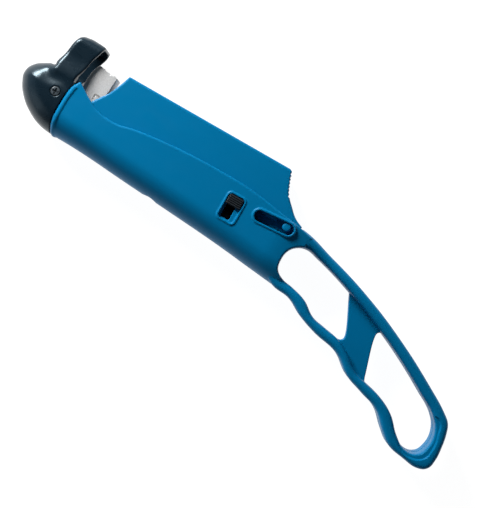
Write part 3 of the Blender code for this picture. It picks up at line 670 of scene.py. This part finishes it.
def casing_body():
    """The solid casing, without its cavity, thinned along the neck."""
    body = outline(
        "body",
        [[
            *SEAM, (94.8, -19.6, "V"), (94.0, -24.2, "V"), (91.0, -25.9), (88.6, -29.0), (88.05, -33.5),
            (88.9, -37.2), (92.0, -39.6, "V"), (92.6, -47.0, "V"), (-17.1, -38.0, "V"), *FRONT_EDGE,
        ]],
        -CASE_HALF, CASE_HALF, CASE_EDGE_R,
    )
    combine(body, belly("belly", 0.0), how="INTERSECT")
    combine(body, front_bead(), how="UNION")
    return thinned(body, CASE_HALF)


def handle_loop():
    """The looped handle: its upper rail swells to the casing's thickness, and a ledge runs round the tail."""
    handle = outline("handle", [HANDLE_OUTSIDE, HANDLE_INSIDE], -HANDLE_HALF, HANDLE_HALF, HANDLE_EDGE_R)
    mould(handle, 0.4, 16, 1.0)
    for vertex in handle.data.vertices:
        share = smooth_step(vertex.co.x, *NECK[::-1]) * smooth_step(vertex.co.y, *RAIL_FOOT)
        vertex.co.z *= 1 + (CASE_HALF / HANDLE_HALF - 1) * share
    floor_z = HANDLE_HALF - LEDGE_DEPTH
    ledge = outline("ledge", [TAIL_LEDGE], floor_z, BEYOND)
    ledge_below = outline("ledge_below", [TAIL_LEDGE], -BEYOND, -floor_z)
    return combine(handle, ledge, ledge_below)


def casing():
    """Casing and handle in one, with the cavity, the screw bosses and the refill hole."""
    body = casing_body()
    handle = handle_loop()
    cavity = outline(
        "cavity",
        [[
            (-30.0, 5.0, "V"), (-30.0, -46.0, "V"), (85.0, -46.0, "V"), (86.5, -30.0), (86.6, -24.6, "V"),
            (89.5, -20.6, "V"), (89.9, 5.0, "V"),
        ]],
        -CASE_HALF + CASE_WALL, CASE_HALF - CASE_WALL,
    )
    combine(cavity, belly("belly_inside", CASE_WALL), how="INTERSECT")
    combine(body, handle, outline("web", [WEB], -WEB_HALF, WEB_HALF), how="UNION")
    combine(body, cavity)
    bosses = [cylinder("boss", BOSS_R, -9.0, 9.0, at=(x, y)) for x, y, _ in SCREWS[:2]]
    combine(body, *bosses, how="UNION")
    return combine(body, cylinder("refill_hole", REFILL_HOLE_R, -42.0, -34.0, at=(REFILL_X, 0.0), axis="Y"))


def casing_halves():
    """The upper and lower half, with the guide slots, the lock's recess and the screw holes."""
    upper = casing()
    lower = copy_of(upper, "lower")
    reach = (-60.0, 200.0), (-100.0, 40.0)
    through = 7.0, 12.0
    rim_foot = 8.6
    x0, x1, y0, y1 = LOCK_RECESS
    wide = LOCK_RIM_WIDTH
    lock_rim = rounded(x0 - wide, x1 + wide, y0 - wide, y1 + wide, LOCK_RECESS_R + 0.5)
    combine(
        upper,
        polygon("slot_rim", stadium(SLOT_RIM_R, SLOT_LENGTH), rim_foot, CASE_HALF + SLOT_RIM_HEIGHT, 0.35),
        polygon("lock_rim", lock_rim, rim_foot, CASE_HALF + LOCK_RIM_HEIGHT, 0.2),
        how="UNION",
    )
    combine(
        upper,
        polygon("slot", stadium(SLOT_R, SLOT_LENGTH), *through),
        polygon("lock_recess", rounded(*LOCK_RECESS, LOCK_RECESS_R), CASE_HALF - 0.8, BEYOND),
        box("lock_slot", (58.4, 62.3), (-30.0, -21.0), (7.0, 11.0)),
    )
    combine(upper, box("above", *reach, (PARTING, 40.0)), how="INTERSECT")
    combine(lower, polygon("slot_below", stadium(SLOT_R, SLOT_LENGTH), -through[1], -through[0]))
    combine(lower, box("below", *reach, (-40.0, -PARTING)), how="INTERSECT")
    for x, y, face in SCREWS:
        shaft = cylinder("shaft", SCREW_HOLE_R, face - 1.0, -face - 2.6, at=(x, y))
        seat_r = SCREW_SINK_R - 0.3
        profile = [(SCREW_SINK_R, face - 0.01), (seat_r, face + 0.35), (seat_r, face + 2.0)]
        sink = turned("sink", profile, (x, y))
        combine(upper, shaft)
        combine(lower, shaft, sink)
    return mould(upper, 0.24, 3, 0.25), mould(lower)


upper_shell, lower_shell = casing_halves()
piece(upper_shell, "casing_upper_shell", "blue_plastic", "casing", "casing_upper")
piece(lower_shell, "casing_lower_shell", "blue_plastic", "casing", "casing_lower")


# ---------------------------------------------------------------- nose cap with its ring guard
NOSE = [
    (-8.0, -13.0, "V"), (-23.5, -12.7), (-28.3, -10.7), (-33.2, -11.4), (-37.7, -14.7), (-39.2, -18.7),
    (-38.1, -22.7), (-34.3, -28.0), (-29.6, -31.7), (-24.2, -34.3), (-18.0, -35.4), (-8.0, -35.7, "V"),
]
RING_SIDE = [
    (-22.5, -15.0, "V"), (-27.6, -12.8), (-28.3, -10.4), (-27.2, -4.0), (-26.2, 2.0), (-24.6, 4.9),
    (-22.4, 5.75), (-14.1, 5.35, "V"), (-14.6, 2.6), (-16.1, -2.0), (-16.9, -6.5), (-18.1, -10.8, "V"),
    (-18.3, -15.0, "V"),
]
NOSE_CAVITY = [
    (-6.0, -12.3, "V"), (-28.3, -12.0), (-32.8, -13.8), (-35.9, -16.3), (-37.1, -18.8), (-36.1, -21.8),
    (-32.7, -26.9), (-28.3, -30.6), (-23.6, -32.7), (-18.0, -33.7), (-6.0, -33.7, "V"),
]
BEHIND_NOSE = [
    (-17.6, -9.0, "V"), (-17.5, -11.8), (-18.0, -15.3), (-18.6, -19.8), (-18.75, -25.0), (-18.5, -30.4),
    (-17.8, -38.0, "V"), (10.0, -38.0, "V"), (10.0, -9.0, "V"),
]
# Room in the nose for the rack and for the trigger's front corner when the trigger is pulled.
RACK_PATH = [(-34.3, -18.9), (-34.2, -16.6), (-21.0, -14.6), (-8.0, -14.6), (-8.0, -18.2)]
TRIGGER_PATH = [(-20.1, -18.0), (-18.6, -13.2), (-8.0, -9.0), (-8.0, -24.0), (-15.5, -21.6)]
# The dome rises over this run from its rim, where it keeps a small share of its height.
DOME_RUN = 10.0
DOME_LEAST = 0.06
# The ring guard: its top corners' radius, its flare towards the foot over these y, and its front edge's
# radius with the y over which that edge fades in
RING_CORNER = 4.0
FLARE = 1.20
FLARE_FROM_TO = (-3.0, -12.5)
RING_FRONT_R = 1.9
RING_FRONT_FROM_TO = (-12.5, -10.0)
# The ring's foot blends into the dome over these y and, in front, over these x, with a shallow dip.
FOOT_FROM_TO = (-19.0, -12.0)
FOOT_FRONT = (-35.0, -26.0)
FOOT_DIP = 0.08
# Above these y everything is ring.
RING_FROM_TO = (-10.5, -9.5)


def smooth_line(points, steps):
    """Points close together on a smooth line through these."""
    curve = bpy.data.curves.new("line", "CURVE")
    curve.resolution_u = steps
    spline = curve.splines.new("BEZIER")
    spline.bezier_points.add(len(points) - 1)
    for knot, point in zip(spline.bezier_points, points):
        knot.co = (point[0], point[1], 0.0)
        knot.handle_left_type = "AUTO"
        knot.handle_right_type = "AUTO"
    line = bpy.data.objects.new("line", curve)
    workshop.objects.link(line)
    return [vertex.co.copy() for vertex in evaluated_mesh(line).vertices]


def ring_height(y):
    """The ring guard's half thickness: round at its top corners and flared out at its foot."""
    over = max(y - (TOP_Y - RING_CORNER), 0.0)
    corner = RING_CORNER - math.sqrt(max(RING_CORNER ** 2 - over ** 2, 0.0))
    return (RING_HALF - corner) * (1 + (FLARE - 1) * smooth_step(y, *FLARE_FROM_TO))


def tree_of(places):
    """A search tree that finds the nearest of these places."""
    tree = KDTree(len(places))
    for i, place in enumerate(places):
        tree.insert(place, i)
    tree.balance()
    return tree


def nose_form(obj, rim, ring_front):
    """Shapes a flat plate into the nose: a dome that rises from its rim and runs into the ring guard."""
    rim_tree = tree_of(rim)
    front_tree = tree_of(ring_front)
    for vertex in obj.data.vertices:
        x, y, z = vertex.co
        low = 1 - min(rim_tree.find((x, y, 0.0))[2] / DOME_RUN, 1.0)
        dome = CASE_HALF * max(math.sqrt(1 - low * low), DOME_LEAST)
        foot = smooth_step(y, *FOOT_FROM_TO) * max(smooth_step(x, *FOOT_FRONT), smooth_step(y, *RING_FROM_TO))
        near = max(1 - front_tree.find((x, y, 0.0))[2] / RING_FRONT_R, 0.0)
        corner = RING_FRONT_R * (1 - math.sqrt(1 - near * near)) * smooth_step(y, *RING_FRONT_FROM_TO)
        height = dome + (ring_height(y) - corner - dome) * foot
        vertex.co.z = z / CASE_HALF * height * (1 - FOOT_DIP * foot * (1 - foot))
    return obj


def nose_cap():
    """The hollow dome with the ring guard, and room for the wheel, the rack and the trigger inside."""
    nose = outline("nose", [NOSE], -CASE_HALF, CASE_HALF)
    combine(nose, outline("ring_side", [RING_SIDE], -CASE_HALF, CASE_HALF), how="UNION")
    mould(nose, 0.3, 3, 1.0)
    nose_form(nose, smooth_line(NOSE[2:12], 32), smooth_line(RING_SIDE[2:7], 32))
    mould(nose, 0.25, 6, 1.0)
    cavity_half = CASE_HALF - 2 * NOSE_WALL
    cavity = outline("nose_cavity", [NOSE_CAVITY], -cavity_half, cavity_half, 4.4, steps=6)
    combine(cavity, belly("nose_belly_inside", CASE_WALL), how="INTERSECT")
    combine(
        nose,
        arch("tunnel", RING_HALF - RING_WALL, TOP_Y - RING_WALL, -10.4, 2.5, -60.0, 0.0),
        cavity,
        box("spark_gate", (-21.5, -5.0), (-16.0, -9.0), (-5.2, 5.2)),
        outline("behind", [BEHIND_NOSE], -14.0, 14.0),
        polygon("rack_path", RACK_PATH, 5.8, 7.8),
        polygon("trigger_path", TRIGGER_PATH, -8.25, 8.25),
        cylinder("screw_seat", 2.1, CASE_HALF - 0.7, CASE_HALF + 2, at=WHEEL),
        cylinder("screw_bore", 1.2, -8.9, CASE_HALF + 2, at=WHEEL),
    )
    return mould(nose, 0.22, 3, 0.4)


piece(nose_cap(), "nose_shell", "navy_plastic", "casing", "nose_cap")


# ---------------------------------------------------------------- trigger and guide pin
SERRATIONS = 7
SERRATION_TOP = 1.4
SERRATION_PITCH = 1.35
SERRATION_R = 0.6


def trigger_shell():
    """The trigger: a hollow shell, open below and in front, with a rib for its spring and a grooved rear."""
    shell = outline(
        "trigger",
        [[
            (-0.2, 0.0, "V"), (73.5, 0.1, "V"), (74.7, -0.7), (75.8, -3.6), (78.3, -9.2), (81.8, -13.0),
            (85.2, -16.0), (89.1, -17.8, "V"), (88.6, -19.8, "V"), (86.4, -21.2, "V"), (86.2, -24.4, "V"),
            (80.2, -24.4, "V"), (79.4, -20.8, "V"), (2.0, -20.6, "V"), (-5.0, -19.3, "V"), (-8.7, -16.6, "V"),
            (-7.0, -14.0), (-4.1, -9.7), (-1.9, -4.9),
        ]],
        -TRIGGER_HALF, TRIGGER_HALF, TRIGGER_EDGE_R,
    )
    inner = TRIGGER_HALF - TRIGGER_WALL
    inside = outline(
        "trigger_inside",
        [[
            (-20.0, -1.0, "V"), (72.4, -1.0, "V"), (73.9, -4.2), (76.4, -9.9), (80.2, -14.2),
            (83.9, -17.2), (85.0, -19.2, "V"), (84.9, -30.0, "V"), (-20.0, -30.0, "V"),
        ]],
        -inner, inner,
    )
    combine(shell, inside)
    combine(shell, box("rib", (46.5, 48.1), (-11.0, -0.6), (-inner - 0.4, inner + 0.4)), how="UNION")
    combine(shell, cylinder("pin_holes", PIN_R - 0.3, -12.0, 12.0, at=PIN))
    # Wings behind the guide slot, one on each side, close it from the inside; the wall steps down to them.
    for side in (-1, 1):
        wing = [(88.4, -18.0), (69.0, -18.4), (68.8, -24.4), (86.4, -24.4)]
        combine(shell, box("step", (79.0, 90.0), (-26.0, -18.3), sorted((side * 6.0, side * 12.0))))
        combine(shell, polygon("wing", wing, *sorted((side * 5.4, side * 6.2))), how="UNION")
    # The grooves follow the hollow rear edge, which is nearly a parabola there.
    for i in range(SERRATIONS):
        down = SERRATION_TOP + SERRATION_PITCH * i
        groove_at = (74.5 + 0.35 * down + 0.009 * down ** 2, -down)
        combine(shell, cylinder("serration", SERRATION_R, -9.0, 9.0, at=groove_at, sides=24))
    return mould(shell, 0.22, 2, 0.3)


piece(trigger_shell(), "trigger_shell", "blue_plastic", "trigger_body", "trigger")
pin_profile = [
    (0.0, -9.5), (1.5, -9.5), (1.8, -9.2), (1.8, 9.2), (1.72, 9.5), (1.5, 9.72), (1.1, 9.8), (0.0, 9.8),
]
piece(turned("pin", pin_profile, PIN), "guide_pin_dome", "blue_plastic", "trigger_body", "guide_pin")


# ---------------------------------------------------------------- screws
def cross_bars(x, y, z0, z1, length, width):
    """Straight bars of a cross recess."""
    bars = []
    for half_x, half_y in ((length, width), (width, length)):
        bars.append(box("bar", (x - half_x, x + half_x), (y - half_y, y + half_y), (z0, z1)))
    return bars


def screw_head(name, x, y, low, high, radius, shank, shank_end, up):
    """A pan-head screw along z: its head from low to high, facing up or down, with a threaded shank."""
    crown, foot = (high, low) if up else (low, high)
    sign = 1 if up else -1
    profile = [(0.0, foot), (radius, foot)]
    for share, down in ((1.0, 0.32), (0.93, 0.12), (0.78, 0.02), (0.5, 0.0), (0.0, 0.0)):
        profile.append((radius * share, crown - sign * down))
    head = turned(name, profile, (x, y))
    recess = sorted((crown + sign, crown - sign * 0.6))
    combine(head, *cross_bars(x, y, *recess, radius * 0.68, radius * 0.19))
    thread = []
    steps = int(abs(shank_end - foot) / 0.35)
    for i in range(steps):
        z = foot + (shank_end - foot) * i / steps
        thread.append((shank * (0.86 if i % 2 else 1.0), z))
    return join(head, turned("shank", [(0.0, foot), *thread, (0.0, shank_end)], (x, y), sides=24))


axle_screw_look = soft_matt(
    "blackened_screw", (0.045, 0.060, 0.072), (0.070, 0.085, 0.095), 0.5, 0.7, (0.22, 0.35), 0.006
)
axle_head = screw_head("axle", *WHEEL, CASE_HALF - 0.6, CASE_HALF + 0.2, AXLE_HEAD_R, 0.95, -8.6, True)
piece(axle_head, "axle_screw_head", "wheel_steel", "casing", "axle_screw", crease=35)
axle_head.data.materials[0] = axle_screw_look
for i, (x, y, face) in enumerate(SCREWS):
    made = screw_head("case_screw", x, y, face + 0.3, face + 1.7, 2.0, 0.9, -face - 3.2, False)
    name = f"casing_screw_{i + 1}"
    piece(made, f"{name}_head", "screw_steel", "casing", name, crease=35)


# ---------------------------------------------------------------- windshield
def windshield():
    """The folded sheet with its toothed top edge and, in its side, a window with a lanced tab."""
    sheet = outline(
        "shield",
        [[
            (-13.3, -1.75, "V"), (-14.5, -4.6), (-15.0, -7.6), (-15.1, -12.0), (-14.6, -16.8, "V"),
            (-5.6, -16.8, "V"), (-4.6, -3.0, "V"), (-5.6, -2.95, "V"), (-5.75, -2.55, "V"), (-7.5, -2.6, "V"),
            (-7.7, -3.0, "V"), (-8.4, -3.0, "V"), (-8.6, -2.5, "V"), (-10.6, -2.45, "V"), (-10.8, -2.05, "V"),
        ]],
        -4.6, 4.6, 0.2, rim_steps=3,
    )
    inside = outline(
        "shield_inside", [[(-30.0, -2.75, "V"), (-5.15, -3.0, "V"), (-6.2, -20.0, "V"), (-30.0, -20.0, "V")]],
        -4.1, 4.1, steps=1,
    )
    window = box("window", (-9.5, -7.0), (-15.2, -12.5), (2.0, 8.0))
    combine(sheet, inside, window)
    tab = box("tab", (-9.0, -7.5), (-15.3, -13.0), (4.05, 4.5))
    return join(sheet, chamfer(tab, 0.08))


piece(windshield(), "windshield_sheet", "satin_steel", "casing", "windshield", crease=35)


# ---------------------------------------------------------------- spark wheel
def toothed(name, teeth, outer, inner, z0, z1, turn):
    """A row of teeth round the spark wheel's axis."""
    points = []
    for i in range(teeth):
        for share, radius in ((-0.30, inner), (-0.12, outer), (0.12, outer), (0.30, inner)):
            angle = 2 * math.pi * (i + share) / teeth + turn
            points.append((WHEEL[0] + radius * math.cos(angle), WHEEL[1] + radius * math.sin(angle)))
    return polygon(name, points, z0, z1)


def spark_wheel():
    """A file-cut wheel between two smooth cheeks: each row of teeth is set round from the last."""
    rows = 5
    half = 1.05
    bore_r = 1.15
    profile = [(bore_r, -1.6), (5.7, -1.6), (6.0, -1.35), (6.0, 1.35), (5.7, 1.6), (bore_r, 1.6)]
    wheel = turned("hub", profile, WHEEL)
    for i in range(rows):
        z0 = -half + 2 * half * i / rows
        z1 = z0 + 2 * half / rows - 0.06
        join(wheel, toothed("row", 36, WHEEL_R, WHEEL_R - 0.45, z0, z1, math.radians(2.6) * i))
    bore = cylinder("wheel_bore", bore_r, -9.0, 9.0, at=WHEEL)
    return combine(wheel, bore)


piece(spark_wheel(), "spark_wheel_cut", "wheel_steel", "wheel_body", "spark_wheel", crease=35)


# ---------------------------------------------------------------- lock slider
def lock_thumb():
    """The slider: a plate with ribs across it and a stem down into the casing."""
    x, y = LOCK[0], LOCK[1] - 0.35
    plate = chamfer(box("plate", (x - 3.1, x + 3.1), (y - 2.15, y + 2.15), (9.5, 10.2)), 0.22, 3)
    stem = box("stem", (59.2, 61.8), (y - 1.3, y + 1.3), (8.4, 9.8))
    for i in range(5):
        rib_y = y + 1.6 - 0.8 * i
        ends = [(0.0, x - 2.95), (0.2, x - 2.92), (0.3, x - 2.75), (0.3, x + 2.75), (0.2, x + 2.92)]
        join(plate, turned("rib", [*ends, (0.0, x + 2.95)], (rib_y, 10.17), "X", 20))
    return join(plate, stem)


piece(lock_thumb(), "lock_thumb", "black_plastic", "lock_body", "lock_slider", crease=35)


# ---------------------------------------------------------------- springs
def coil(name, x0, x1, y, radius, thickness, turns, closed_turns=1.5):
    """A compression spring along x with closed end turns."""
    points = []
    count = turns * 24
    for i in range(count + 1):
        turned_by = turns * i / count
        free = min(max(turned_by - closed_turns, 0.0), turns - 2 * closed_turns)
        free_pitch = (x1 - x0 - 4.2 * closed_turns * thickness) / (turns - 2 * closed_turns)
        along = x0 + free * free_pitch + (turned_by - free) * 2.1 * thickness
        angle = 2 * math.pi * turned_by
        points.append((along, y + radius * math.cos(angle), radius * math.sin(angle)))
    return wire(name, points, thickness)


main_coil = coil("main_coil", 12.35, 45.65, -6.5, 2.6, 0.35, 11)
piece(main_coil, "return_spring_coil", "spring_steel", "casing", "return_spring")
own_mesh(main_coil)
flint_coil = coil("flint_coil", -11.4, 4.4, WHEEL[1], 0.95, 0.22, 16)
piece(flint_coil, "flint_spring_coil", "spring_steel", "casing", "flint_spring")


# ---------------------------------------------------------------- inner pieces that keep their CAD shape
CARRIED = {
    "brass": ("flame_nozzle", "gas_pipe", "drive_pinion", "flint_tube", "valve_body", "refill_valve"),
    "blue_plastic": ("trigger_rack",),
    "flint_alloy": ("flint",),
    "screw_steel": ("flint_plug", "lever_pin"),
    "tank_plastic": ("fuel_tank", "tank_cap", "spring_anchor"),
    "black_plastic": ("valve_plunger", "valve_lever", "lock_clip"),
    "wick_felt": ("tank_wick",),
    "seal_rubber": ("refill_seal",),
}
for slot, names in CARRIED.items():
    for name in names:
        node = frame["nodes"][name]
        for holder in node.material_slots:
            holder.material = LOOKS[slot]

for leftover in list(workshop.objects):
    bpy.data.objects.remove(leftover, do_unlink=True)
bpy.data.collections.remove(workshop)


# ---------------------------------------------------------------- floor, light and camera
FLOOR_REACH = 12.0
LENS = 70.9
CAMERA_AT = (4.9, -0.8, 415.0)
VIEW_TURN = math.radians(29.9)
IMAGE_UP = Vector((-math.sin(VIEW_TURN), math.cos(VIEW_TURN), 0.0))
IMAGE_RIGHT = Vector((math.cos(VIEW_TURN), math.sin(VIEW_TURN), 0.0))
ROOM = 0.5


def floor():
    """A sheet of white paper that glows, so that it stays plain under the lighter."""
    glow = {"Emission_Color": (1.0, 1.0, 1.0, 1.0), "Emission_Strength": 0.97}
    look = Surface("lit_paper", (0.16, 0.16, 0.16), **glow)
    look.tint(look.scale(look.noise(90.0, detail=2.0), 0.2), (0.14, 0.14, 0.14))
    look.rough(look.noise(2.0), 0.85, 0.95)
    look.bump(look.noise(0.6), 0.01)
    work = bmesh.new()
    bmesh.ops.create_grid(work, x_segments=2, y_segments=2, size=FLOOR_REACH)
    mesh = bpy.data.meshes.new("floor")
    work.to_mesh(mesh)
    work.free()
    mesh.materials.append(look.done())
    made = bpy.data.objects.new("floor", mesh)
    bpy.context.scene.collection.objects.link(made)
    made.location.z = cad_box[0].z - 0.1 * MM


def soft_light(name, right, up, height, size, power):
    """An area light aimed at the lighter, placed along the image's axes, in metres."""
    data = bpy.data.lights.new(name, "AREA")
    data.shape = "RECTANGLE"
    data.size, data.size_y = size
    data.energy = power
    lamp = bpy.data.objects.new(name, data)
    bpy.context.scene.collection.objects.link(lamp)
    lamp.location = IMAGE_RIGHT * right + IMAGE_UP * up + Vector((0.0, 0.0, height))
    lamp.rotation_euler = (-lamp.location).to_track_quat("-Z", "Y").to_euler()


def surroundings():
    """A pale room, dark straight above and below the picture, so that flat plastic shows its own colour."""
    world = bpy.data.worlds.new("studio")
    bpy.context.scene.world = world
    world.use_nodes = True
    tree = world.node_tree
    direction = tree.nodes.new("ShaderNodeTexCoord").outputs["Generated"]
    product = tree.nodes.new("ShaderNodeMath")
    product.operation = "MULTIPLY"
    for socket, axis, levels in (
        (product.inputs[0], (0.0, 0.0, 1.0), (0.35, 0.85, ROOM, 0.02)),
        (product.inputs[1], tuple(IMAGE_UP - 0.5 * IMAGE_RIGHT), (-0.5, 0.7, 0.25, 1.0)),
    ):
        along = tree.nodes.new("ShaderNodeVectorMath")
        along.operation = "DOT_PRODUCT"
        tree.links.new(direction, along.inputs[0])
        along.inputs[1].default_value = axis
        ramp = tree.nodes.new("ShaderNodeMapRange")
        tree.links.new(along.outputs["Value"], ramp.inputs["Value"])
        for name, level in zip(("From Min", "From Max", "To Min", "To Max"), levels):
            ramp.inputs[name].default_value = level
        tree.links.new(ramp.outputs["Result"], socket)
    tree.links.new(product.outputs[0], tree.nodes["Background"].inputs["Strength"])
    tree.nodes["Background"].inputs["Color"].default_value = (0.80, 0.90, 1.0, 1.0)


def camera():
    """Looks straight down, turned about the vertical, so that the lighter lies across the picture."""
    data = bpy.data.cameras.new("camera")
    data.sensor_width = 36.0
    data.lens = LENS
    made = bpy.data.objects.new("camera", data)
    bpy.context.scene.collection.objects.link(made)
    made.location = [place * MM for place in CAMERA_AT]
    made.rotation_euler = (0.0, 0.0, VIEW_TURN)
    bpy.context.scene.camera = made


floor()
surroundings()
soft_light("key", -0.22, 0.45, 0.24, (0.22, 0.16), 5.4)
soft_light("left", -0.60, -0.05, 0.30, (0.2, 0.4), 0.2)
camera()
bpy.context.scene.view_settings.view_transform = "Standard"
